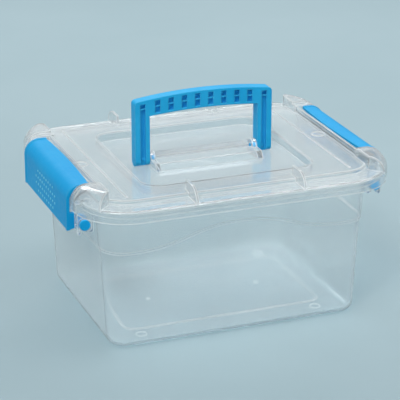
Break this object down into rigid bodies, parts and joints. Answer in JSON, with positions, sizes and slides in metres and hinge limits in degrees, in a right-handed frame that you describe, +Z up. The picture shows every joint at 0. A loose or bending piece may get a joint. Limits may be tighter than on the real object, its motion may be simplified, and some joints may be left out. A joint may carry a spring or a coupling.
{
  "type": "lidded carry storage box",
  "caption": "Translucent plastic storage box with a lift-off hooded lid, a fold-down carry handle and a hinged snap clip on each short side.",
  "frame": {"origin": "centre of the base, on the surface that the box stands on", "axes": "+X along the long side towards the right clip, -Y to the front, +Z up"},
  "size_m": [0.2818, 0.2258, 0.1892],
  "materials": {
    "clear_tub": "slightly milky translucent moulded polypropylene",
    "clear_lid": "slightly milky translucent moulded polypropylene",
    "blue_handle": "satin moulded bright blue plastic",
    "blue_clip": "satin moulded bright blue plastic"
  },
  "bodies": {
    "tub": {"tub": "clear_tub"},
    "lid": {"lid": "clear_lid"},
    "handle": {"carry_handle": "blue_handle"},
    "left_clip": {"left_clip": "blue_clip"},
    "right_clip": {"right_clip": "blue_clip"}
  },
  "joints": [
    {"name": "lid_lift", "type": "slide", "parent": "tub", "child": "lid", "axis": [0, 0, 1], "range_m": [0, 0.025]},
    {"name": "handle_fold", "type": "hinge", "parent": "lid", "child": "handle", "pos_m": [0, 0, 0.1323], "axis": [1, 0, 0], "range_deg": [-90, 90]},
    {"name": "left_clip_open", "type": "hinge", "parent": "tub", "child": "left_clip", "pos_m": [-0.1295, 0, 0.1105], "axis": [0, -1, 0], "range_deg": [0, 100]},
    {"name": "right_clip_open", "type": "hinge", "parent": "tub", "child": "right_clip", "pos_m": [0.1295, 0, 0.1105], "axis": [0, 1, 0], "range_deg": [0, 100]}
  ],
  "couplings": [
    {"joint": "left_clip_open", "follows": "lid_lift", "rad_per_m": 69.8},
    {"joint": "right_clip_open", "follows": "lid_lift", "rad_per_m": 69.8}
  ]
}
